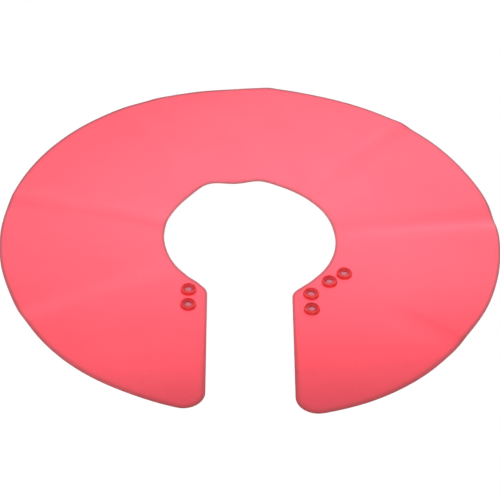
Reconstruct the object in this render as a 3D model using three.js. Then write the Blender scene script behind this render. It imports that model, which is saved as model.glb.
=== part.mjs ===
// Hair cutting collar: a flat, soft C-shaped sheet that goes round the neck and
// lies on the shoulders, closed at the front by magnets set in raised rings.
// Millimetres, +Z up. The slit opens towards -Y and the wearer's back is at +Y.
// In names, right is +X and left is -X, as seen from above with the slit nearest.
// The soft sheet is built as eight rigid panels that meet along its crease lines.
// The group puts the middle of the outline at the origin and the lowest face at z = 0.

import * as THREE from "three";

// ---------------------------------------------------------------- dimensions
const OUTER_DIAMETER = 450; // outside edge of the sheet
const NECK_DIAMETER = 154.4; // neck hole
const SLIT_WIDTH = 74; // parallel gap between the two ends
const SHEET_THICKNESS = 1.2;
const CREASE_GAP = 1.0; // clearance between neighbouring panels at a crease

const OUTER_RADIUS = OUTER_DIAMETER / 2;
const NECK_RADIUS = NECK_DIAMETER / 2;
const HALF_SLIT = SLIT_WIDTH / 2;

// Azimuths are in degrees seen from above, counter-clockwise from +X.
const BACK_CREASE = 86;
const RIGHT_CREASES = { shoulder: 49, side: 7, front: -22 };
const LEFT_CREASES = { shoulder: 123, side: 165, front: 194 };
const FLARE_AZIMUTH = -40; // where the right neck edge turns straight towards the slit

const NECK_CORNER_RADIUS = 14; // where the neck edge meets the slit
const END_CORNER_RADIUS = 18; // where the slit meets the outside edge

// Centre of the right end corner, which touches the slit and the outside edge.
const END_CORNER_X = HALF_SLIT + END_CORNER_RADIUS;
const END_CORNER_Y = -Math.sqrt((OUTER_RADIUS - END_CORNER_RADIUS) ** 2 - END_CORNER_X ** 2);

// Magnet fasteners: centres measured from the neck centre.
const FASTENERS = [
  { name: "left_1", x: -53.3, y: -74.3, panel: "left_front" },
  { name: "left_2", x: -53.3, y: -93.3, panel: "left_front" },
  { name: "right_1", x: 53.4, y: -77.4, panel: "right_front" },
  { name: "right_2", x: 53.4, y: -96.6, panel: "right_front" },
  { name: "right_3", x: 69.9, y: -61.2, panel: "right_front" },
  { name: "right_4", x: 83.4, y: -50.4, panel: "right_front" },
];
const SHEET_HOLE_RADIUS = 5.0;
const SEAT_GAP = 0.1; // between two stacked faces

const RING_RADIUS = 7.1; // top ring and backing ring, outside
const RING_HEIGHT = 3.5; // top ring above the sheet
const LIP_RADIUS = 3.0; // opening in the top ring that shows the magnet

const SLEEVE_RADIUS = 4.85; // sleeve of the top ring that goes through the sheet
const SLEEVE_BORE_RADIUS = 4.12;
const SLEEVE_DROP = 0.55; // sleeve end below the sheet

const MAGNET_RADIUS = 4.0;
const MAGNET_THICKNESS = 2.3;
const MAGNET_RECESS = 2.6; // magnet face below the top of the ring
const MAGNET_CHAMFER = 0.25;

const BACKING_THICKNESS = 1.0; // backing ring below the sheet
const BACKING_OPENING_RADIUS = 2.6;
const BACKING_BOSS_RADIUS = MAGNET_RADIUS - 0.05; // raised middle under the magnet

const ROUND_SEGMENTS = 24; // round a fastener
const NECK_CORNER_SEGMENTS = 6;
const END_CORNER_SEGMENTS = 12;
const OUTER_STEP = 3; // degrees per outer edge segment
const NECK_STEP = 4; // degrees per neck edge segment
const END_CLEARANCE = 0.35; // part of a step kept free of points at each end of an arc

// ----------------------------------------------------------------- materials
const FINISHES = {
  sheet: { color: 0xf7596c, roughness: 0.42, metalness: 0 },
  ring: { color: 0xd3262c, roughness: 0.25, metalness: 0 },
  magnet: { color: 0xc9c9d0, roughness: 0.2, metalness: 1 },
};

// ------------------------------------------------------------------ outlines
// Every outline runs counter-clockwise about the neck centre at the origin.
const { degToRad, radToDeg } = THREE.MathUtils;

function polar(radius, azimuth) {
  const angle = degToRad(azimuth);
  return new THREE.Vector2(radius * Math.cos(angle), radius * Math.sin(angle));
}

// Points on a circle round the neck centre between two azimuths, both left out,
// on multiples of the step so that neighbouring panels line up.
function arc(radius, low, high, step) {
  const points = [];
  const first = Math.floor(low / step + END_CLEARANCE) + 1;
  for (let k = first; k < high / step - END_CLEARANCE; k++) {
    points.push(polar(radius, k * step));
  }
  return points;
}

// Points of a rounded corner about (x, y), between two angles in radians.
function fillet(x, y, radius, from, to, segments) {
  const points = [];
  for (let i = 0; i <= segments; i++) {
    const angle = from + ((to - from) * i) / segments;
    points.push(
      new THREE.Vector2(x + radius * Math.cos(angle), y + radius * Math.sin(angle)),
    );
  }
  return points;
}

// The end of a crease edge: the point of a circle that lies half a gap from the
// crease line, counter-clockwise of it for side 1 and clockwise for side -1.
function creasePoint(radius, azimuth, side) {
  const offset = (side * CREASE_GAP) / 2;
  const along = Math.sqrt(radius ** 2 - offset ** 2);
  return new THREE.Vector2(along, offset).rotateAround(
    new THREE.Vector2(),
    degToRad(azimuth),
  );
}

// A panel between two creases, low azimuth first.
function wedge(low, high) {
  return [
    creasePoint(OUTER_RADIUS, low, 1),
    ...arc(OUTER_RADIUS, low, high, OUTER_STEP),
    creasePoint(OUTER_RADIUS, high, -1),
    creasePoint(NECK_RADIUS, high, -1),
    ...arc(NECK_RADIUS, low, high, NECK_STEP).reverse(),
    creasePoint(NECK_RADIUS, low, 1),
  ];
}

// The right end of the sheet, from its crease to the slit: neck edge, straight
// flare, rounded corner, slit edge, rounded corner, outside edge.
function rightEnd(crease) {
  // The flare follows the tangent of the neck circle until it meets the slit edge.
  const flareStart = polar(NECK_RADIUS, FLARE_AZIMUTH);
  const flareDirection = polar(1, FLARE_AZIMUTH - 90);
  const flareLength = (HALF_SLIT - flareStart.x) / flareDirection.x;
  const meetingY = flareStart.y + flareDirection.y * flareLength;
  const turn = degToRad(-FLARE_AZIMUTH); // angle between the flare and the slit edge
  const trim = NECK_CORNER_RADIUS * Math.tan(turn / 2);

  const endAngle = Math.atan2(END_CORNER_Y, END_CORNER_X);
  return [
    creasePoint(NECK_RADIUS, crease, -1),
    ...arc(NECK_RADIUS, FLARE_AZIMUTH, crease, NECK_STEP).reverse(),
    flareStart,
    ...fillet(
      HALF_SLIT + NECK_CORNER_RADIUS,
      meetingY - trim,
      NECK_CORNER_RADIUS,
      Math.PI - turn,
      Math.PI,
      NECK_CORNER_SEGMENTS,
    ),
    ...fillet(
      END_CORNER_X,
      END_CORNER_Y,
      END_CORNER_RADIUS,
      -Math.PI,
      endAngle,
      END_CORNER_SEGMENTS,
    ),
    ...arc(OUTER_RADIUS, radToDeg(endAngle), crease, OUTER_STEP),
    creasePoint(OUTER_RADIUS, crease, -1),
  ];
}

// Mirrors left to right; reversing keeps the outline counter-clockwise.
const mirror = (points) => points.map(({ x, y }) => new THREE.Vector2(-x, y)).reverse();

const PANELS = {
  right_front: rightEnd(RIGHT_CREASES.front),
  right_side: wedge(RIGHT_CREASES.front, RIGHT_CREASES.side),
  right_shoulder: wedge(RIGHT_CREASES.side, RIGHT_CREASES.shoulder),
  back_right: wedge(RIGHT_CREASES.shoulder, BACK_CREASE),
  back_left: wedge(BACK_CREASE, LEFT_CREASES.shoulder),
  left_shoulder: wedge(LEFT_CREASES.shoulder, LEFT_CREASES.side),
  left_side: wedge(LEFT_CREASES.side, LEFT_CREASES.front),
  left_front: mirror(rightEnd(180 - LEFT_CREASES.front)),
};

// ------------------------------------------------------------------ profiles
// [radius, height] pairs, listed upwards on the outside.
// Heights are from the top face of the sheet.
const SHEET_UNDERSIDE = -SHEET_THICKNESS;
const MAGNET_TOP = RING_HEIGHT - MAGNET_RECESS;
const MAGNET_BOTTOM = MAGNET_TOP - MAGNET_THICKNESS;
const SLEEVE_BOTTOM = SHEET_UNDERSIDE - SLEEVE_DROP;
const BACKING_TOP = SHEET_UNDERSIDE - SEAT_GAP;
const BACKING_BOTTOM = SHEET_UNDERSIDE - BACKING_THICKNESS;

// Sleeve, rounded rim, dished face down to the lip, and the bore for the magnet.
const TOP_RING_PROFILE = [
  [SLEEVE_RADIUS, SLEEVE_BOTTOM],
  [SLEEVE_RADIUS, SEAT_GAP],
  [RING_RADIUS - 0.15, SEAT_GAP],
  [RING_RADIUS, SEAT_GAP + 0.2],
  [RING_RADIUS, RING_HEIGHT - 1.3],
  [RING_RADIUS - 0.15, RING_HEIGHT - 0.65],
  [RING_RADIUS - 0.48, RING_HEIGHT - 0.2],
  [RING_RADIUS - 0.95, RING_HEIGHT],
  [RING_RADIUS - 1.5, RING_HEIGHT - 0.18],
  [LIP_RADIUS + 1.1, RING_HEIGHT - 0.6],
  [LIP_RADIUS + 0.45, RING_HEIGHT - 0.92],
  [LIP_RADIUS, RING_HEIGHT - 1.08],
  [LIP_RADIUS, MAGNET_TOP + SEAT_GAP],
  [SLEEVE_BORE_RADIUS, MAGNET_TOP + SEAT_GAP],
  [SLEEVE_BORE_RADIUS, SLEEVE_BOTTOM],
  [SLEEVE_RADIUS, SLEEVE_BOTTOM],
];

const MAGNET_PROFILE = [
  [0, MAGNET_BOTTOM],
  [MAGNET_RADIUS - MAGNET_CHAMFER, MAGNET_BOTTOM],
  [MAGNET_RADIUS, MAGNET_BOTTOM + MAGNET_CHAMFER],
  [MAGNET_RADIUS, MAGNET_TOP - MAGNET_CHAMFER],
  [MAGNET_RADIUS - MAGNET_CHAMFER, MAGNET_TOP],
  [0, MAGNET_TOP],
];

// Ring with a groove that clears the sleeve and a boss that sits under the magnet.
const BACKING_RING_PROFILE = [
  [BACKING_OPENING_RADIUS, BACKING_BOTTOM],
  [RING_RADIUS - 0.5, BACKING_BOTTOM],
  [RING_RADIUS, BACKING_BOTTOM + 0.4],
  [RING_RADIUS, BACKING_TOP],
  [SHEET_HOLE_RADIUS, BACKING_TOP],
  [SHEET_HOLE_RADIUS, SLEEVE_BOTTOM - SEAT_GAP],
  [BACKING_BOSS_RADIUS, SLEEVE_BOTTOM - SEAT_GAP],
  [BACKING_BOSS_RADIUS, MAGNET_BOTTOM - SEAT_GAP],
  [BACKING_OPENING_RADIUS, MAGNET_BOTTOM - SEAT_GAP],
  [BACKING_OPENING_RADIUS, BACKING_BOTTOM],
];

// -------------------------------------------------------------------- solids
// A clockwise hole in the sheet for the sleeve of a fastener.
function sleeveHole({ x, y }) {
  const points = [];
  for (let i = 0; i < ROUND_SEGMENTS; i++) {
    const angle = (-2 * Math.PI * i) / ROUND_SEGMENTS;
    points.push(
      new THREE.Vector2(
        x + SHEET_HOLE_RADIUS * Math.cos(angle),
        y + SHEET_HOLE_RADIUS * Math.sin(angle),
      ),
    );
  }
  const path = new THREE.Path(points);
  path.closePath();
  return path;
}

function sheetPanel(outline, fasteners) {
  const shape = new THREE.Shape(outline);
  shape.holes = fasteners.map(sleeveHole);
  return new THREE.ExtrudeGeometry(shape, {
    depth: SHEET_THICKNESS,
    bevelEnabled: false,
    steps: 1,
  });
}

// A solid turned about +Z.
function turned(profile) {
  const points = profile.map(([radius, height]) => new THREE.Vector2(radius, height));
  return new THREE.LatheGeometry(points, ROUND_SEGMENTS).rotateX(Math.PI / 2);
}

// ------------------------------------------------------------------ assembly
const SHEET_BOTTOM_Z = BACKING_THICKNESS;
const SHEET_TOP_Z = SHEET_BOTTOM_Z + SHEET_THICKNESS;

const collar = new THREE.Group();
collar.name = "hair_cutting_collar";
const frontY = END_CORNER_Y - END_CORNER_RADIUS;
collar.position.y = -(OUTER_RADIUS + frontY) / 2;

function add(name, geometry, finish, x, y, z) {
  const mesh = new THREE.Mesh(geometry, new THREE.MeshStandardMaterial(FINISHES[finish]));
  mesh.name = name;
  mesh.position.set(x, y, z);
  collar.add(mesh);
}

for (const [panel, outline] of Object.entries(PANELS)) {
  const fasteners = FASTENERS.filter((fastener) => fastener.panel === panel);
  add(`sheet_${panel}`, sheetPanel(outline, fasteners), "sheet", 0, 0, SHEET_BOTTOM_Z);
}

for (const { name, x, y } of FASTENERS) {
  add(`top_ring_${name}`, turned(TOP_RING_PROFILE), "ring", x, y, SHEET_TOP_Z);
  add(`magnet_${name}`, turned(MAGNET_PROFILE), "magnet", x, y, SHEET_TOP_Z);
  add(`backing_ring_${name}`, turned(BACKING_RING_PROFILE), "ring", x, y, SHEET_TOP_Z);
}

export default collar;
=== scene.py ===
"""A soft red sheet with six magnetic fasteners.

The sheet is round, with a neck hole in the middle and a slit from the hole to the front edge.
Two fasteners sit left of the slit and four right of it. The sheet lies flat in XY: +X is right,
+Y is back and +Z is up. Azimuths are degrees from +X towards +Y, from -90 at the front, over 90
at the back, to 270. "Left" azimuths are above 90.
"""

import math

import bpy
import numpy as np
from mathutils import Matrix, Vector
from mathutils.geometry import tessellate_polygon


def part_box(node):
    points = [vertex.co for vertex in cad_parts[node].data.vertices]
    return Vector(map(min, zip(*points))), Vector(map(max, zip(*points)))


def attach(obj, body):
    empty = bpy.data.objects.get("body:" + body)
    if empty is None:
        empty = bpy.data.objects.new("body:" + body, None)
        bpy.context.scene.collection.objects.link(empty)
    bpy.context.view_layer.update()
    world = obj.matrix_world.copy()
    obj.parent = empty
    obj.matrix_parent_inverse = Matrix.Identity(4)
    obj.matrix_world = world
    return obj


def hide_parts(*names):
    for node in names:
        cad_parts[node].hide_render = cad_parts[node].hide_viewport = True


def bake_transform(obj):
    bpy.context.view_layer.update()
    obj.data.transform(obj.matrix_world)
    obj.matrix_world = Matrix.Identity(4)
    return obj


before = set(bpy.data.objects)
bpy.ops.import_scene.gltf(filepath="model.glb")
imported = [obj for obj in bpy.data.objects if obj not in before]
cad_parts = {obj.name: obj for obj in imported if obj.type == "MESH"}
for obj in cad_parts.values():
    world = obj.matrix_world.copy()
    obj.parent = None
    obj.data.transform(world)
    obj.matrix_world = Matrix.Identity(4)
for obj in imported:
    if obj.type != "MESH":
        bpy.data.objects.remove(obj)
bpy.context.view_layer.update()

# ------------------------------------------------------------------ dimensions
# Millimetres, measured from the neck centre in plan and from the sheet's top face in height.
MM = 0.001
boxes = [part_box(name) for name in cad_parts]
R_OUT = (max(box[1].x for box in boxes) - min(box[0].x for box in boxes)) / 2 / MM
NECK_Y = max(box[1].y for box in boxes) / MM - R_OUT
SHEET_LO, SHEET_HI = (corner.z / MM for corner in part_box("sheet_back_left"))
THICK = SHEET_HI - SHEET_LO
HALF_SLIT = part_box("sheet_right_front")[0].x / MM
R_NECK = 77.2
FLARE_AZ = -40.0  # where the neck edge leaves its circle, straight towards the slit
NECK_CORNER = 14.0  # radius of the corner between neck and slit
END_CORNER = 18.0  # radius of the corner between slit and outside
EDGE_ROUND = 0.36  # rounding of the sheet's edges

FASTENERS = {}  # centres in plan
for label in ("left_1", "left_2", "right_1", "right_2", "right_3", "right_4"):
    lo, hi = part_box("top_ring_" + label)
    FASTENERS[label] = ((lo.x + hi.x) / 2 / MM, (lo.y + hi.y) / 2 / MM - NECK_Y)
HOLE_R = 5.0
HOLE_CLEAR = 5.45  # grid quads with a corner closer than this make way for a hole
HOLE_SEGMENTS = 48

# The mesh's grid: columns run round the neck, from the slit's right side to its left,
# and rows from neck to outside. An end lies between the slit and the seam azimuth.
SEAM_AZ = -34.0
N_END = 60  # columns in an end
N_POLAR = 360  # columns between the two seams
N_ROWS = 50
N_COLS = 2 * N_END + N_POLAR + 1
RING_INSETS = [EDGE_ROUND, 0.75, 1.2, 1.9, 3.0]  # rings of vertices close to the edge
GRID_INSET = 4.6  # the regular grid starts here

AZ_COLS = np.linspace(SEAM_AZ, 180 - SEAM_AZ, N_POLAR + 1)
END_SHARES = np.linspace(0, 1, N_END + 1)
ROW_SHARES = np.linspace(0, 1, N_ROWS)
FLIP = np.array([-1.0, 1.0])  # mirrors the right end to the left


def to_row(x, y, z):
    """Millimetres about the neck centre and above the top face, to metres in the frame."""
    return np.stack([x * MM, (y + NECK_Y) * MM, (z + SHEET_HI) * MM], -1)


# --------------------------------------------------------------------- outline
def polar(radius, az):
    angle = np.radians(az)
    return np.stack([radius * np.cos(angle), radius * np.sin(angle)], -1)


def arc(cx, cy, rx, ry, start, end, count):
    """Points on an ellipse, between two angles in degrees."""
    angle = np.radians(np.linspace(start, end, count))
    return np.stack([cx + rx * np.cos(angle), cy + ry * np.sin(angle)], -1)


def resample(points, shares):
    """Points at the given shares of a polyline's length."""
    run = np.r_[0, np.cumsum(np.linalg.norm(np.diff(points, axis=0), axis=1))]
    at = shares * run[-1]
    return np.stack([np.interp(at, run, points[:, 0]), np.interp(at, run, points[:, 1])], -1)


def end_curves(inset):
    """The right end's edges: neck and outside from slit to seam, and slit from neck out."""
    neck_r, outer_r, slit_x = R_NECK + inset, R_OUT - inset, HALF_SLIT + inset
    outer_fillet, neck_fillet = END_CORNER - inset, NECK_CORNER - inset
    # centre of the outside corner
    outer_x = slit_x + outer_fillet
    outer_y = -math.sqrt((outer_r - outer_fillet) ** 2 - outer_x * outer_x)
    outer_az = math.degrees(math.atan2(outer_y, outer_x))
    # centre of the neck corner, between the flare's tangent and the slit
    start = polar(neck_r, FLARE_AZ)
    flare = math.radians(FLARE_AZ)
    tangent = np.array([math.sin(flare), -math.cos(flare)])
    corner = start + tangent * ((slit_x - start[0]) / tangent[0])
    turn = -FLARE_AZ
    neck_x = slit_x + neck_fillet
    neck_y = corner[1] - neck_fillet * math.tan(math.radians(turn) / 2)
    # half fillets meet in the middle of each rounded corner
    neck_mid, outer_mid = 180 - turn / 2, (outer_az - 180) / 2

    def neck_arc(a, b):
        return arc(neck_x, neck_y, neck_fillet, neck_fillet, a, b, 14)

    def outer_arc(a, b):
        return arc(outer_x, outer_y, outer_fillet, outer_fillet, a, b, 24)

    neck_circle = polar(neck_r, np.linspace(FLARE_AZ, SEAM_AZ, 10))
    outer_circle = polar(outer_r, np.linspace(outer_az, SEAM_AZ, 120)[1:])
    neck = np.vstack([neck_arc(neck_mid, 180 - turn), neck_circle])
    outer = np.vstack([outer_arc(outer_mid, outer_az), outer_circle])
    slit = np.vstack([neck_arc(neck_mid, 180), outer_arc(-180, outer_mid)])
    return neck, outer, slit


def edge_curves(inset):
    """Neck and outside edge over all columns, then right and left slit edge over all rows."""
    neck_end, outer_end, slit = end_curves(inset)
    edges = []
    for end, radius in ((neck_end, R_NECK + inset), (outer_end, R_OUT - inset)):
        end = resample(end, END_SHARES)
        edges.append(np.vstack([end, polar(radius, AZ_COLS)[1:-1], (end * FLIP)[::-1]]))
    slit = resample(slit, ROW_SHARES)
    return *edges, slit, slit * FLIP


def once_round(neck, outer, slit_right, slit_left):
    """Joins the four edges to one loop, with each corner once."""
    return np.concatenate([neck, slit_left[1:], outer[::-1][1:], slit_right[::-1][1:-1]])


def outline(inset):
    return lie(once_round(*edge_curves(inset)))


def flat_grid():
    """The regular grid: straight rows between the seams and a Coons patch in each end."""
    neck, outer, slit, _ = edge_curves(GRID_INSET)
    u = END_SHARES[None, :, None]
    v = ROW_SHARES[:, None, None]
    grid = neck[None] + v * (outer[None] - neck[None])
    near, far = neck[None, : N_END + 1], outer[None, : N_END + 1]
    slit, seam = slit[:, None], grid[:, N_END, None]
    corners = (
        (1 - u) * (1 - v) * near[:, :1]
        + u * (1 - v) * near[:, -1:]
        + (1 - u) * v * far[:, :1]
        + u * v * far[:, -1:]
    )
    patch = (1 - v) * near + v * far + (1 - u) * slit + u * seam - corners
    grid[:, :N_END] = patch[:, :-1]
    grid[:, N_COLS - N_END :] = (patch * FLIP)[:, ::-1][:, 1:]
    return grid


# ----------------------------------------------------------- how the sheet lies
# Waves are rows of (azimuth, width in degrees, size in mm).
# Waves of the neck edge: part of each is height and part is the edge's own line.
NECK_WAVES = [
    (47.0, 13.0, -2.0), (81.5, 6.0, 1.6), (98.0, 6.5, -2.1),
    (119.5, 7.0, 4.6), (148.0, 10.0, -1.8), (205.0, 20.0, -0.6),
]
WAVE_HEIGHT, WAVE_PLAN = 0.45, 0.67
# height of the outside edge
OUTER_WAVES = [
    (85.4, 4.6, 1.0), (84.9, 1.3, 0.8), (94.5, 4.0, -0.8), (105.0, 9.0, -1.2),
    (121.5, 4.2, 0.8), (138.0, 17.0, 1.2), (38.0, 17.0, 1.0), (66.0, 7.0, -0.5),
    (200.0, 12.0, 1.7), (228.0, 12.0, -1.2),
]
# radial shifts of the neck edge and of the outside edge, in plan
NECK_PULLS = [(127, 9, 0.95), (163, 8, -0.5), (197, 11, -0.6), (20, 11, -0.45), (-30, 10, -0.5)]
OUTER_PULLS = [
    (11, 8, 1.3), (-36, 6.5, -1.7), (-16, 7, -0.8), (45, 7, 0.4),
    (155, 8, 0.5), (203, 6, -0.8), (226, 12, 0.4),
]


def smooth(x, low, high):
    """An S-curve from 0 at low to 1 at high."""
    t = np.clip((x - low) / (high - low), 0, 1)
    return t * t * (3 - 2 * t)


def azimuth(x, y):
    return (np.degrees(np.arctan2(y, x)) + 90) % 360 - 90


def waves(az, table):
    return sum(size * np.exp(-0.5 * ((az - centre) / width) ** 2) for centre, width, size in table)


def lie(plan):
    """Moves points of the ideal outline to where they lie in plan."""
    x, y = plan[..., 0], plan[..., 1]
    r, az = np.hypot(x, y), azimuth(x, y)
    # the outside edge sits a little to the right of the neck hole
    clear = np.where(y < 0, smooth(np.abs(x), HALF_SLIT + 3, 105), 1.0)
    shift = 1.07 * smooth(r, 85, 215) * clear + 0.12 * (1 - smooth(r, 80, 150)) * clear
    # the neck edge is drawn out at the front right
    pull = waves(az, [(-38, 19.0, 2.6)]) * (1 - smooth(r, 86, 150))
    pull = pull * smooth(x, HALF_SLIT + 1, 52)
    # and a little wider at the back
    wide = 0.8 * smooth(az, 22, 48) * (1 - smooth(az, 140, 162)) + waves(az, NECK_PULLS)
    pull = pull + wide * (1 - smooth(r, 84, 150))
    pull = pull + waves(az, OUTER_PULLS) * smooth(r, 150, 218)
    # the left end's neck corner stands a little towards the back
    lift = 2.7 * smooth(az, 224, 237) * (1 - smooth(-y, 72, 112)) * (1 - smooth(r, 86, 128))
    # the last neck wave is height only
    lift = lift + WAVE_PLAN * waves(az, NECK_WAVES[:-1]) * (1 - smooth(r, 76, 150))
    return np.stack([x + shift + pull * x / r, y + pull * y / r + lift], -1)


# ---------------------------------------------------------------- height field
def ray(x, y, az, bow):
    """Distances along the ray at az and across it, towards higher azimuths."""
    angle = math.radians(az)
    along = x * math.cos(angle) + y * math.sin(angle)
    across = -x * math.sin(angle) + y * math.cos(angle)
    return along, across - bow * ((along - 150) / 75) ** 2


def fold(x, y, az, slants, bow=0.0):
    """The height of a fold mark along the ray at az.

    A slant is (distance across, half width, slope). A number may be a pair of values, at
    105 and 205 mm from the neck centre. Well away on either side the height is the same.
    """
    along, across = ray(x, y, az, bow)
    far = np.clip((along - 105) / 100, -0.25, 1.15)
    h, rise = 0, 0
    for slant in slants:
        centre, half, slope = (
            v[0] + (v[1] - v[0]) * far if isinstance(v, tuple) else v for v in slant
        )
        h = h + slope * half * np.tanh((across - centre) / half)
        rise = rise + slope * half
    return (h - rise * np.tanh(across / 40)) * smooth(along, 15, 75)


def dent(x, y, cx, cy, half_x, half_y):
    return np.exp(-0.5 * (((x - cx) / half_x) ** 2 + ((y - cy) / half_y) ** 2))


rng = np.random.default_rng(11)
RIPPLE_HEIGHT = 0.045
RIPPLES = [  # direction, phase, wave number from a wavelength in mm, share of the height
    (
        rng.uniform(0, 2 * math.pi),
        rng.uniform(0, 2 * math.pi),
        2 * math.pi / rng.uniform(46, 120),
        rng.uniform(0.4, 1.0),
    )
    for _ in range(14)
]


def height(x, y):
    """Height of the top face above its flat place: fold marks and soft waves."""
    r, az = np.hypot(x, y), azimuth(x, y)
    h = waves(az, OUTER_WAVES) * smooth(r, 118, 224)
    h += WAVE_HEIGHT * waves(az, NECK_WAVES) * (1 - smooth(r, 76, 165))
    # left, a ridge with a steep front side
    h += fold(x, y, 167.3, [(-10, 6, 0.05), ((4.5, 4), 6.5, (-0.22, -0.16))], bow=1.5)
    # front left, a step up towards the front
    h += fold(x, y, 208.5, [((2, 3), 12, (0.08, 0.27)), (-24, 8, -0.035)])
    # right, a valley, deeper towards the outside
    valley = [((-6, -3.5), (6.5, 9), (-0.08, -0.29)), ((8, 12), (7, 10), (0.13, 0.22))]
    h += fold(x, y, 7.2, valley, bow=-1.0)
    # back left, a soft step
    h += fold(x, y, 120.5, [((-9, -17), 8, (-0.10, -0.12))])
    # back right, a faint mark
    h += fold(x, y, 46.5, [((-2, 1.5), 6, (0.09, 0.19)), ((13, 15), 6, (-0.03, -0.09))])
    # front right, close to the outside edge
    h += fold(x, y, -38, [(7.5, 6.5, 0.15), (-11, 7.5, -0.065)]) * smooth(r, 140, 178)
    h += waves(az, [(-26, 10.0, 2.9)]) * smooth(r, 120, 212)
    h -= waves(az, [(-62, 10.0, 1.5)]) * smooth(r, 140, 222)
    h -= 0.8 * smooth(-az, 66, 82) * smooth(r, 150, 220)
    # the left end's tip lifts
    h += 3.2 * smooth(-y, 115, 216) * (x < 0)
    # small dents at the back
    h -= 0.35 * dent(x, y, cx=-75, cy=165, half_x=6, half_y=9)
    h -= 0.25 * dent(x, y, cx=8, cy=150, half_x=6, half_y=9)
    for angle, phase, number, share in RIPPLES:
        across = x * math.cos(angle) + y * math.sin(angle)
        h += RIPPLE_HEIGHT * share * np.sin(number * across + phase)
    # flat under the fasteners
    flat = np.ones_like(r)
    for cx, cy in FASTENERS.values():
        flat *= smooth(np.hypot(x - cx, y - cy), 9.5, 34)
    return h * flat


def slopes(x, y, step=0.4):
    """Unit normals of the top face."""
    rise_x = (height(x + step, y) - height(x - step, y)) / (2 * step)
    rise_y = (height(x, y + step) - height(x, y - step)) / (2 * step)
    normal = np.stack([-rise_x, -rise_y, np.ones_like(rise_x)], -1)
    return normal / np.linalg.norm(normal, axis=-1, keepdims=True)


# ------------------------------------------------------- vertices of the sheet
# Layers, in order: top grid, bottom grid, top rings, rim rings, bottom rings.
# A layer holds plan, height, normal, distance from the edge, the y part of the outline's
# outward direction, and how far its surface is turned sideways, 0 to 1.
bare_edge = outline(0.0)
first_ring = outline(EDGE_ROUND)
outward = bare_edge - first_ring
outward /= np.linalg.norm(outward, axis=1, keepdims=True)
N_LOOP = len(first_ring)
layers = []


def add_layer(plan, drop, normal, edge, outward_y=outward[:, 1], sideways=0.0):
    """Adds vertices and returns the number of the first."""
    first = sum(len(layer[0]) for layer in layers)
    count = len(plan)
    z = height(*plan.T) + drop
    layers.append((plan, z, normal, np.full(count, edge), outward_y, np.full(count, sideways)))
    return first


def nearest_edge(points, chunk=4000):
    """Distance to the outline, 20 at most, and the outward y of the outline there."""
    distance, outward_y = [], []
    for k in range(0, len(points), chunk):
        squares = ((points[k : k + chunk, None, :] - bare_edge[None]) ** 2).sum(-1)
        distance.append(np.sqrt(squares.min(1)))
        outward_y.append(outward[squares.argmin(1), 1])
    return np.minimum(np.concatenate(distance), 20), np.concatenate(outward_y)


grid_plan = lie(flat_grid()).reshape(-1, 2)
grid_up = slopes(*grid_plan.T)
grid_edge = nearest_edge(grid_plan)
GRID_TOP = add_layer(grid_plan, 0, grid_up, *grid_edge)
GRID_BOTTOM = add_layer(grid_plan, -THICK, -grid_up, *grid_edge)

RINGS_TOP, RIM, RINGS_BOTTOM = [], [], []
for inset in RING_INSETS[::-1]:  # from the grid outwards
    plan = outline(inset)
    RINGS_TOP.append(add_layer(plan, 0, slopes(*plan.T), inset))
rim_up = slopes(*first_ring.T)
rim_out = np.c_[outward, np.zeros(N_LOOP)]
RIM_ANGLES = (25, 50, 75, 90)
for side, face_z, angles in ((1, 0, RIM_ANGLES), (-1, -THICK, RIM_ANGLES[::-1])):
    for angle in np.radians(angles):
        cos, sin = math.cos(angle), math.sin(angle)
        inset = EDGE_ROUND * (1 - sin)
        drop = face_z - side * EDGE_ROUND * (1 - cos)
        normal = side * rim_up * cos + rim_out * sin
        RIM.append(add_layer(outline(inset), drop, normal, inset - 0.15 * sin, sideways=sin))
for inset in RING_INSETS:  # from the rim back to the grid
    plan = outline(inset)
    RINGS_BOTTOM.append(add_layer(plan, -THICK, -slopes(*plan.T), inset))

XY, Z, NORMAL, EDGE, OUTWARD_Y, SIDEWAYS = (np.concatenate(part) for part in zip(*layers))
NORMAL /= np.linalg.norm(NORMAL, axis=1, keepdims=True)
CO = to_row(XY[:, 0], XY[:, 1], Z)
N_SHARED = len(XY)

# --------------------------------------------------------- colour at the vertices
FOLD_MARKS = [  # azimuth, width in mm, strength, bow
    (167.3, 1.6, 0.15, 1.5),
    (208.5, 2.2, 0.2, 0),
    (7.2, 1.8, 0.5, -1.0),
    (46.5, 1.4, 0.15, 0),
    (85.2, 1.6, 0.12, 0),
    (119.5, 1.6, 0.12, 0),
    (-38, 1.8, 0.12, 0),
]


def fold_marks(x, y):
    """How close a point is to one of the fold marks, 0 to 1."""
    total = np.zeros_like(x)
    for az, width, strength, bow in FOLD_MARKS:
        along, across = ray(x, y, az, bow)
        close = np.exp(-(np.sqrt(across**2 + 0.64) - 0.8) / width) * (along > 0)
        total = np.maximum(total, close * strength * smooth(along, 80, 120))
    return total


def light_on(x, y):
    """Roughly how brightly the sheet is lit, 0.8 at the front tips to nearly 2 on the right."""
    level = np.interp(y, [-215, -140, -80, 0, 200], [0.80, 1.05, 1.35, 1.60, 1.65])
    return level + 0.3 * np.exp(-0.5 * (((x - 190) / 75) ** 2 + ((y - 30) / 75) ** 2))


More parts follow.
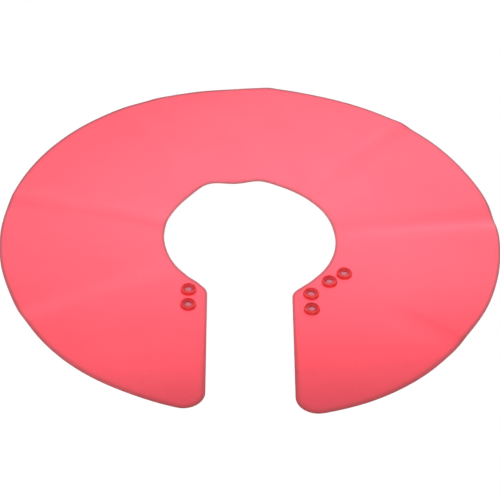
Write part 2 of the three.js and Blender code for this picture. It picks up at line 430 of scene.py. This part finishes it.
def painted_edge_shade(x, y):
    """Factors on the colour of each vertex, which paint shade along the edge and near the neck
    hole.
    """
    r = np.hypot(x, y)
    # painted shade: the top is darker along the edge, in a band that is wider at front and back
    distance = EDGE / (1 + 0.42 * np.abs(OUTWARD_Y)) / (1.12 - 0.12 * smooth(r, 86, 100))
    fade = np.interp(
        distance,
        [0, 0.7, 1.3, 1.8, 2.4, 3.1, 4.4, 6.0],
        [1, 1, 1, 0.80, 0.42, 0.18, 0.05, 0],
    )
    # the painted shade is deeper where the sheet is lit more brightly, so the edge looks equally
    # dark everywhere
    red = np.clip(0.535 / light_on(x, y), 0.28, 0.68)
    tint = np.stack([1 - fade * (1 - red), 1 - 0.17 * fade, 1 - 0.26 * fade], -1)
    # painted shade: a little darker and deeper in colour along the middle, close to the neck hole
    neck_shade = np.exp(-((x / 80) ** 2)) * (1 - smooth(r, 140, 205))
    tint[:, 1:] *= 1 - 0.08 * neck_shade[:, None]
    # painted light and shade: the edge's side is paler where it faces the front and darker where
    # it faces the back
    front = np.clip(0.5 - 1.2 * OUTWARD_Y, 0, 1)
    side = np.stack([0.30 + 0.55 * front, 0.9 + 0.8 * front, 0.85 + 0.45 * front], -1)
    return tint + (side - tint) * SIDEWAYS[:, None]


MARK = fold_marks(*XY.T)
PAINTED_SHADE = painted_edge_shade(*XY.T)

# ------------------------------------------------------------ pieces of the sheet
# name, first and second body, crease azimuth, half width of the bend in mm,
# way from first body to second (1 to lower azimuths, -1 to higher), CAD nodes it replaces
PIECES = [
    ("sheet_right_end", "right_side", "right_front", -22, 14.0, 1,
     ("sheet_right_front", "sheet_right_side")),
    ("sheet_right_side_bend", "right_shoulder", "right_side", 7, 14.0, 1,
     ("sheet_right_shoulder",)),
    ("sheet_right_shoulder_bend", "back_right", "right_shoulder", 49, 14.0, 1,
     ("sheet_back_right",)),
    ("sheet_back_bend", "back_left", "back_right", 86, 13.0, 1, ("sheet_back_left",)),
    ("sheet_left_shoulder_bend", "back_left", "left_shoulder", 123, 14.0, -1,
     ("sheet_left_shoulder",)),
    ("sheet_left_side_bend", "left_shoulder", "left_side", 165, 14.0, -1,
     ("sheet_left_side",)),
    ("sheet_left_end", "left_side", "left_front", 194, 14.0, -1, ("sheet_left_front",)),
]
CUTS = [-7.5, 28.0, 67.5, 104.5, 144.0, 179.5]  # azimuths between neighbouring pieces
AZ_STEP = AZ_COLS[1] - AZ_COLS[0]
cut_cols = [N_END + int(round((cut - SEAM_AZ) / AZ_STEP)) for cut in CUTS]
limits = [0] + cut_cols + [N_COLS - 1]

grid_ids = np.arange(N_ROWS * N_COLS).reshape(N_ROWS, N_COLS)
grid_loop = once_round(grid_ids[0], grid_ids[-1], grid_ids[:, 0], grid_ids[:, -1])
loop_col = grid_loop % N_COLS
# loops of vertices from the top grid, round the edge, to the bottom grid
chain = (
    [GRID_TOP + grid_loop]
    + [first + np.arange(N_LOOP) for first in RINGS_TOP + RIM + RINGS_BOTTOM]
    + [GRID_BOTTOM + grid_loop]
)


def link_object(name, data):
    ob = bpy.data.objects.new(name, data)
    bpy.context.scene.collection.objects.link(ob)
    return ob


def smooth_mesh(name, points, faces):
    mesh = bpy.data.meshes.new(name)
    mesh.from_pydata([tuple(point) for point in points], [], faces)
    mesh.update()
    for polygon in mesh.polygons:
        polygon.use_smooth = True
    return mesh


def point_values(mesh, name, values):
    """Stores numbers or vectors on the vertices."""
    kind, field = ("FLOAT_VECTOR", "vector") if values.ndim == 2 else ("FLOAT", "value")
    attribute = mesh.attributes.new(name, kind, "POINT")
    attribute.data.foreach_set(field, values.astype(np.float32).ravel())


def cut_hole(top, cx, cy, first, below):
    """A round hole: the top quads left over, the circle's points and the new faces.

    The circle's vertices are numbered from first, and those under them are below higher.
    """
    corners = XY[top]
    near = (np.hypot(corners[:, :, 0] - cx, corners[:, :, 1] - cy) < HOLE_CLEAR).any(1)
    # the boundary of the quads taken out, counterclockwise
    sides = {(int(a), int(b)) for quad in top[near] for a, b in zip(quad, np.roll(quad, -1))}
    after = {a: b for a, b in sides if (b, a) not in sides}
    loop = [min(after, key=lambda i: math.atan2(XY[i][1] - cy, XY[i][0] - cx))]
    while after[loop[-1]] != loop[0]:
        loop.append(after[loop[-1]])
    circle = []
    for j in range(HOLE_SEGMENTS):
        angle = -math.pi + 2 * math.pi * (j + 0.5) / HOLE_SEGMENTS
        circle.append((cx + HOLE_R * math.cos(angle), cy + HOLE_R * math.sin(angle)))
    ring = list(range(first, first + HOLE_SEGMENTS))
    ids = loop + ring[::-1]
    places = np.vstack([XY[loop], circle[::-1]])
    polygons = [[Vector((*p, 0.0)) for p in part] for part in (XY[loop], circle[::-1])]
    faces = []
    for triangle in tessellate_polygon(polygons):
        p, q, s = (places[i] for i in triangle)
        ccw = (q[0] - p[0]) * (s[1] - p[1]) - (q[1] - p[1]) * (s[0] - p[0]) > 0
        face = [ids[i] for i in (triangle if ccw else triangle[::-1])]
        under = [i + (GRID_BOTTOM if i < N_SHARED else below) for i in face]
        faces += [("face", face), ("face", under[::-1])]
    for a, b in zip(ring, ring[1:] + ring[:1]):
        faces.append(("wall", [a, b, b + below, a + below]))
    return top[~near], circle, faces


def edge_faces(lo, hi):
    """Rings and rim along the outline between two columns."""
    here = np.arange(N_LOOP)
    col, next_col = loop_col, np.roll(loop_col, -1)
    inside = (np.minimum(col, next_col) >= lo) & (np.maximum(col, next_col) <= hi)
    inside &= (col != next_col) | (col == 0) | (col == N_COLS - 1)
    faces = []
    for upper, lower in zip(chain[:-1], chain[1:]):
        for j in here[inside]:
            k = (j + 1) % N_LOOP
            faces.append(("face", [upper[k], lower[k], lower[j], upper[j]]))
    return faces


def cap_faces(col, forward):
    """The cut through the sheet at a column, facing higher columns if forward."""
    neck = col
    out = N_COLS - 1 + N_ROWS - 1 + (N_COLS - 1 - col)
    top = [first + neck for first in RINGS_TOP[::-1]]
    top += list(GRID_TOP + grid_ids[:, col]) + [first + out for first in RINGS_TOP]
    bottom = [first + neck for first in RINGS_BOTTOM]
    bottom += list(GRID_BOTTOM + grid_ids[:, col]) + [first + out for first in RINGS_BOTTOM[::-1]]
    faces = [[top[i], top[i + 1], bottom[i + 1], bottom[i]] for i in range(len(top) - 1)]
    faces.append([top[0], bottom[0]] + [first + neck for first in RIM[::-1]])
    faces.append([bottom[-1], top[-1]] + [first + out for first in RIM])
    return [("cap", face if forward else face[::-1]) for face in faces]


def sheet_piece(name, lo, hi):
    """A closed solid: the sheet between two columns, with its fasteners' holes."""
    quads = (
        grid_ids[1:, lo:hi],
        grid_ids[1:, lo + 1 : hi + 1],
        grid_ids[:-1, lo + 1 : hi + 1],
        grid_ids[:-1, lo:hi],
    )
    top = np.stack([corner.ravel() for corner in quads], -1)
    holes = [at for label, at in FASTENERS.items() if name == f"sheet_{label.split('_')[0]}_end"]
    circles, hole_faces = [], []
    for cx, cy in holes:
        first = N_SHARED + len(circles)
        top, circle, new_faces = cut_hole(top, cx, cy, first, HOLE_SEGMENTS * len(holes))
        circles += circle
        hole_faces += new_faces
    faces = [("face", list(quad)) for quad in top]
    faces += [("face", list(quad)) for quad in top[:, ::-1] + GRID_BOTTOM]
    faces += hole_faces + edge_faces(lo, hi)
    for col, forward in ((lo, False), (hi, True)):
        if col not in (0, N_COLS - 1):
            faces += cap_faces(col, forward)

    # the shared vertices, followed by the holes' circles on top and bottom
    rim = np.array(circles).reshape(-1, 2)
    x, y = rim.T
    z = height(x, y)
    up = np.tile([0.0, 0.0, 1.0], (len(rim), 1))
    all_xy = np.vstack([XY, rim, rim])
    all_co = np.vstack([CO, to_row(x, y, z), to_row(x, y, z - THICK)])
    all_normals = np.vstack([NORMAL, up, -up])
    all_marks = np.concatenate([MARK, np.zeros(2 * len(rim))])
    all_painted_shade = np.vstack([PAINTED_SHADE, np.ones((2 * len(rim), 3))])

    used = sorted({i for _, face in faces for i in face})
    number = {old: new for new, old in enumerate(used)}
    used = np.array(used)
    mesh = smooth_mesh(name, all_co[used], [[number[i] for i in face] for _, face in faces])

    # hard edges: within the caps, and wherever two kinds of face meet
    kinds = {}
    normals = []
    for (kind, face), polygon in zip(faces, mesh.polygons):
        for key in polygon.edge_keys:
            kinds.setdefault(key, []).append(kind)
        if kind == "face":
            normals += [tuple(all_normals[i]) for i in face]
        else:
            normals += [tuple(polygon.normal)] * len(face)
    hard = mesh.attributes.new("sharp_edge", "BOOLEAN", "EDGE")
    flags = []
    for edge in mesh.edges:
        one, other = kinds[tuple(sorted(edge.vertices))]
        flags.append(one != other or one == "cap")
    hard.data.foreach_set("value", flags)
    mesh.normals_split_custom_set(normals)

    point_values(mesh, "fold_mark", all_marks[used])
    point_values(mesh, "painted_shade_tint", all_painted_shade[used])
    point_values(mesh, "rest_mm", np.c_[all_xy[used], all_co[used][:, 2] / MM - SHEET_HI])
    return link_object(name, mesh)


pieces = [sheet_piece(row[0], lo, hi) for row, lo, hi in zip(PIECES, limits[:-1], limits[1:])]


# ---------------------------------------------------------------- node helpers
def new_material(name, shader_kind):
    """A material with one shader on its surface."""
    material = bpy.data.materials.new(name)
    material.use_nodes = True
    tree = material.node_tree
    tree.nodes.clear()
    out = tree.nodes.new("ShaderNodeOutputMaterial")
    shader = tree.nodes.new(shader_kind)
    tree.links.new(shader.outputs[0], out.inputs["Surface"])
    return material, tree, shader


def set_inputs(tree, node, inputs):
    """Links sockets to a node's inputs and sets the plain values."""
    for key, value in inputs.items():
        if isinstance(value, bpy.types.NodeSocket):
            tree.links.new(value, node.inputs[key])
        else:
            node.inputs[key].default_value = value


def add_node(tree, kind, inputs):
    node = tree.nodes.new(kind)
    set_inputs(tree, node, inputs)
    return node


def attribute(tree, name):
    node = tree.nodes.new("ShaderNodeAttribute")
    node.attribute_name = name
    return node


def grey(value):
    return (value, value, value, 1)


def ramp(tree, source, stops):
    """A colour ramp through stops of (position, colour)."""
    node = add_node(tree, "ShaderNodeValToRGB", {"Fac": source})
    elements = node.color_ramp.elements
    while len(elements) > 1:
        elements.remove(elements[-1])
    elements[0].position, elements[0].color = stops[0]
    for position, colour in stops[1:]:
        elements.new(position).color = colour
    return node.outputs["Color"]


def noise(tree, vector, scale, detail, roughness, distortion=0.0):
    inputs = {
        "Scale": scale,
        "Detail": detail,
        "Roughness": roughness,
        "Distortion": distortion,
        "Vector": vector,
    }
    return add_node(tree, "ShaderNodeTexNoise", inputs).outputs["Fac"]


def mix(tree, kind, a, b, factor):
    node = tree.nodes.new("ShaderNodeMix")
    node.data_type = "RGBA"
    node.blend_type = kind
    set_inputs(tree, node, {0: factor, 6: a, 7: b})
    return node.outputs[2]


def maths(tree, operation, a, b=0.0, c=0.0):
    node = tree.nodes.new("ShaderNodeMath")
    node.operation = operation
    set_inputs(tree, node, {0: a, 1: b, 2: c})
    return node.outputs[0]


def bump(tree, relief, strength, distance, **more):
    inputs = {"Strength": strength, "Distance": distance, "Height": relief, **more}
    return add_node(tree, "ShaderNodeBump", inputs).outputs["Normal"]


# --------------------------------------------------------------- sheet material
def sheet_material():
    material, tree, bsdf = new_material("soft_sheet", "ShaderNodeBsdfPrincipled")
    rest = attribute(tree, "rest_mm").outputs["Vector"]
    mark = attribute(tree, "fold_mark").outputs["Fac"]
    # pigment, slightly uneven
    cloud = noise(tree, rest, scale=0.011, detail=4, roughness=0.55)
    pigment = [
        (0.25, (0.822, 0.0705, 0.1005, 1)),
        (0.5, (0.830, 0.0735, 0.1045, 1)),
        (0.75, (0.838, 0.0765, 0.1085, 1)),
    ]
    base = ramp(tree, cloud, pigment)
    mottle = noise(tree, rest, scale=0.09, detail=5, roughness=0.6)
    mottle = ramp(tree, mottle, [(0.3, grey(0.985)), (0.7, grey(1.015))])
    base = mix(tree, "MULTIPLY", base, mottle, factor=1.0)
    # whitened where it was folded
    whitening = maths(tree, "MULTIPLY", mark, 0.25)
    base = mix(tree, "MIX", base, (0.86, 0.12, 0.165, 1), factor=whitening)
    # light scuffs from handling, in long streaks
    streaks = {"Rotation": (0, 0, 0.5), "Scale": (0.02, 0.35, 0.35), "Vector": rest}
    stretch = add_node(tree, "ShaderNodeMapping", streaks).outputs[0]
    scuff = noise(tree, stretch, scale=1.0, detail=6, roughness=0.65, distortion=0.4)
    scuff = ramp(tree, scuff, [(0.60, grey(0)), (0.78, grey(1))])
    paling = maths(tree, "MULTIPLY", scuff, 0.10)
    base = mix(tree, "MIX", base, (0.85, 0.11, 0.15, 1), factor=paling)
    # painted shade along the edge and near the neck hole, darker and deeper in colour, and painted
    # light and shade on the edge's side
    tint = attribute(tree, "painted_shade_tint").outputs["Vector"]
    base = mix(tree, "MULTIPLY", base, tint, factor=1.0)
    # finish, duller on scuffs and fold marks
    blotch = noise(tree, rest, scale=0.035, detail=4, roughness=0.6)
    rough = maths(tree, "MULTIPLY_ADD", blotch, 0.16, 0.36)
    rough = maths(tree, "MULTIPLY_ADD", scuff, 0.07, rough)
    rough = maths(tree, "MULTIPLY_ADD", mark, 0.10, rough)
    # moulded grain and a soft unevenness
    grain = noise(tree, rest, scale=2.2, detail=2, roughness=0.5)
    peel = noise(tree, rest, scale=0.32, detail=3, roughness=0.5)
    normal = bump(tree, grain, strength=1.0, distance=0.000018)
    normal = bump(tree, peel, strength=1.0, distance=0.00009, Normal=normal)
    finish = {
        "Base Color": base,
        "Roughness": rough,
        "IOR": 1.45,
        "Specular IOR Level": 0.6,
        "Normal": normal,
    }
    set_inputs(tree, bsdf, finish)
    return material


sheet_mat = sheet_material()
for ob in pieces:
    ob.data.materials.append(sheet_mat)

# ------------------------------------------------------------------- fasteners
# Profiles of (radius, height above the sheet's top face). The top ring has a wall
# round a dish, the magnet is a disc, and the backing ring lies under the sheet.
TOP_RING_PROFILE = [
    (4.85, -1.72), (4.85, 0.12), (6.75, 0.12),
    *arc(6.8, 0.42, 0.3, 0.3, -80, 0, 5),
    *arc(6.15, 2.20, 0.95, 1.28, 0, 90, 13),
    *arc(6.15, 2.84, 1.0, 0.64, 98, 138, 6),
    (5.08, 3.06), (4.74, 2.86), (4.40, 2.70), (4.02, 2.58), (3.62, 2.49), (3.26, 2.43),
    (3.04, 2.36), (2.97, 2.26), (2.97, 1.04), (4.12, 1.04), (4.12, -1.72),
]
MAGNET_PROFILE = [
    (0.0, -1.36),
    *arc(3.72, -1.08, 0.26, 0.26, -90, 0, 5),
    *arc(3.72, 0.63, 0.26, 0.26, 0, 90, 6),
    (2.0, 0.90), (0.0, 0.91),
]
BACKING_RING_PROFILE = [
    *arc(2.9, -1.95, 0.28, 0.24, 180, 270, 5),
    *arc(6.45, -1.72, 0.62, 0.47, -90, 0, 8),
    (7.08, -1.32), (5.02, -1.32), (5.02, -1.84), (3.94, -1.84), (3.94, -1.50), (2.62, -1.50),
]


def turned(name, profile, cx, cy, segments=72, sharp=32):
    """A closed solid turned about the vertical through (cx, cy). Radius 0 is a pole."""
    verts, rows = [], []
    for radius, z in profile:
        count = 1 if radius < 1e-6 else segments
        rows.append(list(range(len(verts), len(verts) + count)))
        if count == 1:
            verts.append((cx, cy, z))
            continue
        for j in range(segments):
            angle = 2 * math.pi * j / segments
            verts.append((cx + radius * math.cos(angle), cy + radius * math.sin(angle), z))
    pairs = list(zip(rows[:-1], rows[1:]))
    if len(rows[0]) > 1:
        pairs.append((rows[-1], rows[0]))
    faces = []
    for a, b in pairs:
        for j in range(segments):
            k = (j + 1) % segments
            if len(a) == 1:
                faces.append((a[0], b[k], b[j]))
            elif len(b) == 1:
                faces.append((a[j], a[k], b[0]))
            else:
                faces.append((a[j], a[k], b[k], b[j]))
    verts = np.array(verts)
    mesh = smooth_mesh(name, to_row(*verts.T), faces)
    mesh.set_sharp_from_angle(angle=math.radians(sharp))
    point_values(mesh, "rest_mm", verts - np.array([cx, cy, 0]))
    return link_object(name, mesh)


def ring_material():
    material, tree, bsdf = new_material("ring_plastic", "ShaderNodeBsdfPrincipled")
    rest = attribute(tree, "rest_mm").outputs["Vector"]
    flow = noise(tree, rest, scale=0.35, detail=3, roughness=0.5, distortion=0.6)
    base = ramp(tree, flow, [(0.3, (0.41, 0.027, 0.029, 1)), (0.7, (0.47, 0.033, 0.035, 1))])
    # paler on worn edges
    worn = tree.nodes.new("ShaderNodeNewGeometry").outputs["Pointiness"]
    worn = ramp(tree, worn, [(0.52, grey(0)), (0.60, grey(0.22))])
    base = mix(tree, "MIX", base, (0.50, 0.08, 0.08, 1), factor=worn)
    # radius from the fastener's axis, in mm, and as a share of 8 mm for the ramps
    x, y, _ = add_node(tree, "ShaderNodeSeparateXYZ", {0: rest}).outputs
    x_squared = maths(tree, "MULTIPLY", x, x)
    radius = maths(tree, "SQRT", maths(tree, "MULTIPLY_ADD", y, y, x_squared))
    # painted shade in the dish: its colour is darker and bluer than the wall's; the dish is also
    # duller
    share = maths(tree, "MULTIPLY", radius, 0.125)
    recess_shade = ramp(tree, share, [(0.66, (0.72, 0.66, 0.80, 1)), (0.84, grey(1))])
    base = mix(tree, "MULTIPLY", base, recess_shade, factor=1.0)
    share = maths(tree, "MULTIPLY", radius, 0.125)
    gloss = ramp(tree, share, [(0.66, grey(0.12)), (0.80, grey(0.45))])
    spots = noise(tree, rest, scale=1.6, detail=4, roughness=0.6)
    rough = maths(tree, "MULTIPLY_ADD", spots, 0.16, 0.26)
    # turning marks of the mould, very fine
    lines = maths(tree, "SINE", maths(tree, "MULTIPLY", radius, 26.0))
    lines = maths(tree, "MULTIPLY", lines, 0.25)
    relief = maths(tree, "MULTIPLY_ADD", spots, 1.6, lines)
    finish = {
        "Base Color": base,
        "Specular IOR Level": gloss,
        "Roughness": rough,
        "IOR": 1.45,
        # red light spreads inside the plastic
        "Subsurface Weight": 0.6,
        "Subsurface Scale": 0.001,
        "Subsurface Radius": (4.0, 0.5, 0.5),
        "Normal": bump(tree, relief, strength=0.8, distance=0.00003),
    }
    set_inputs(tree, bsdf, finish)
    return material


def magnet_material():
    material, tree, bsdf = new_material("nickel_plate", "ShaderNodeBsdfPrincipled")
    rest = attribute(tree, "rest_mm").outputs["Vector"]
    tarnish = noise(tree, rest, scale=0.5, detail=5, roughness=0.6)
    plate = [(0.3, (0.34, 0.120, 0.158, 1)), (0.7, (0.43, 0.152, 0.198, 1))]
    base = ramp(tree, tarnish, plate)
    fine = noise(tree, rest, scale=3.0, detail=4, roughness=0.6)
    finish = {
        "Base Color": base,
        "Metallic": 0.5,
        "Roughness": maths(tree, "MULTIPLY_ADD", fine, 0.20, 0.20),
        "Normal": bump(tree, fine, strength=0.6, distance=0.00003),
    }
    set_inputs(tree, bsdf, finish)
    return material


fastener_set = bpy.data.collections.new("fasteners")
ring_mat = ring_material()
magnet_mat = magnet_material()
PARTS = [  # kind, profile, material, slot
    ("top_ring", TOP_RING_PROFILE, ring_mat, "ring"),
    ("magnet", MAGNET_PROFILE, magnet_mat, "magnet"),
    ("backing_ring", BACKING_RING_PROFILE, ring_mat, "ring"),
]
for label, (cx, cy) in FASTENERS.items():
    body = label.split("_")[0] + "_front"
    for kind, profile, material, slot in PARTS:
        ob = turned("fine_" + kind + "_" + label, profile, cx, cy)
        ob.data.materials.append(material)
        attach(ob, body)
        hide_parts(kind + "_" + label)
        fastener_set.objects.link(ob)
        ob.visible_shadow = False

# ------------------------------------------------- the sheet's pieces are set in place and replace their CAD nodes
for ob, (_, first_body, second_body, az, half_band, way, nodes) in zip(pieces, PIECES):
    angle = math.radians(az)
    cos, sin = math.cos(angle), math.sin(angle)
    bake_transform(ob)
    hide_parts(*nodes)

# ----------------------------------------------------------------------- floor
FLOOR_Z = -0.16
bpy.ops.mesh.primitive_plane_add(size=12, location=(0, 0, FLOOR_Z))
floor = bpy.context.object
floor.name = "floor"
floor_mat, floor_tree, glow_shader = new_material("pale_floor", "ShaderNodeEmission")
set_inputs(floor_tree, glow_shader, {"Color": grey(1), "Strength": 1.0})
floor.data.materials.append(floor_mat)

# ----------------------------------------------------------------------- world
AMBIENT = 0.19  # strength for diffuse light
SEEN_BY_CAMERA = 1.05
scene = bpy.context.scene


def white_world():
    """Dim ambient light, a softbox for reflections and white for the camera."""
    world = bpy.data.worlds.new("soft_white")
    scene.world = world
    world.use_nodes = True
    tree = world.node_tree
    tree.nodes.clear()
    out = tree.nodes.new("ShaderNodeOutputWorld")
    path = tree.nodes.new("ShaderNodeLightPath")
    coord = tree.nodes.new("ShaderNodeTexCoord")

    def backdrop(strength):
        inputs = {"Color": grey(1), "Strength": strength}
        return add_node(tree, "ShaderNodeBackground", inputs).outputs[0]

    def choose(factor, a, b):
        return add_node(tree, "ShaderNodeMixShader", {0: factor, 1: a, 2: b}).outputs[0]

    # what shines in the surfaces: one wide softbox behind and above, dimmer elsewhere
    towards_box = tree.nodes.new("ShaderNodeVectorMath")
    towards_box.operation = "DOT_PRODUCT"
    set_inputs(tree, towards_box, {0: coord.outputs["Generated"], 1: (0.0, 0.72, 0.69)})
    softbox = [(0.45, grey(0.30)), (0.75, grey(0.80)), (1.0, grey(0.85))]
    glow = ramp(tree, towards_box.outputs["Value"], softbox)
    shown = choose(path.outputs["Is Glossy Ray"], backdrop(AMBIENT), backdrop(glow))
    shown = choose(path.outputs["Is Camera Ray"], shown, backdrop(SEEN_BY_CAMERA))
    tree.links.new(shown, out.inputs["Surface"])


white_world()


# ---------------------------------------------------------------------- lights
def area_light(name, at, target, size, size_y, power, spread):
    """A narrow area light, unseen by the camera and in reflections. Spread in degrees."""
    light = bpy.data.lights.new(name, "AREA")
    light.shape = "RECTANGLE"
    light.size = size
    light.size_y = size_y
    light.energy = power
    light.spread = math.radians(spread)
    ob = link_object(name, light)
    ob.location = at
    ob.rotation_mode = "QUATERNION"
    ob.rotation_quaternion = (Vector(target) - Vector(at)).to_track_quat("-Z", "Y")
    ob.visible_camera = False
    ob.visible_glossy = False
    return ob


LIGHTS = [  # name, place, target, size, size_y, power, spread
    ("key_behind", (0.10, 1.45, 2.05), (0.265, 0.136, 0), 1.2, 0.40, 2.48, 11.52),
    ("accent_right", (0.55, 1.25, 1.80), (0.170, 0.030, 0), 0.5, 0.3, 0.38, 7.5),
    ("accent_left", (-0.45, 1.25, 1.80), (-0.115, -0.070, 0), 0.5, 0.3, 0.24, 7.5),
    ("front_on_fasteners", (0.0, -1.6, 0.85), (0.0, -0.08, 0), 1.0, 0.6, 7.0, 90),
]
lights = [area_light(*row) for row in LIGHTS]
# the low front light falls on the fasteners only
lights[-1].light_linking.receiver_collection = fastener_set

scene.view_settings.view_transform = "Standard"
scene.view_settings.look = "None"
scene.view_settings.exposure = 0.0
scene.view_settings.gamma = 1.0

# ---------------------------------------------------------------------- camera
ELEVATION, ROLL, YAW = (math.radians(angle) for angle in (41.27, 2.007, 1.593))
SENSOR = 36.0
LENS = 130.1904
DISTANCE = 1617.1275  # from the eye to the point looked at
LOOK_AT = (-0.0716, -19.296, 0)  # in plan, before the yaw
LOOK_AT_SHIFT = (1.07, 0, 0)  # added after the yaw

yaw = np.array(
    [[math.cos(YAW), math.sin(YAW), 0], [-math.sin(YAW), math.cos(YAW), 0], [0, 0, 1]]
)
forward = yaw @ [0, math.cos(ELEVATION), -math.sin(ELEVATION)]
level_up = yaw @ [0, math.sin(ELEVATION), math.cos(ELEVATION)]
level_right = yaw @ [1, 0, 0]
eye = yaw @ LOOK_AT + LOOK_AT_SHIFT - forward * DISTANCE
cam_right = level_right * math.cos(ROLL) + level_up * math.sin(ROLL)
cam_up = -level_right * math.sin(ROLL) + level_up * math.cos(ROLL)

cam_data = bpy.data.cameras.new("camera")
cam_data.sensor_width = SENSOR
cam_data.lens = LENS
cam_data.clip_start, cam_data.clip_end = 0.05, 50
cam = link_object("camera", cam_data)
rotation = Matrix((cam_right, cam_up, -forward)).transposed()
cam.matrix_world = Matrix.Translation(Vector(to_row(*eye))) @ rotation.to_4x4()
scene.camera = cam
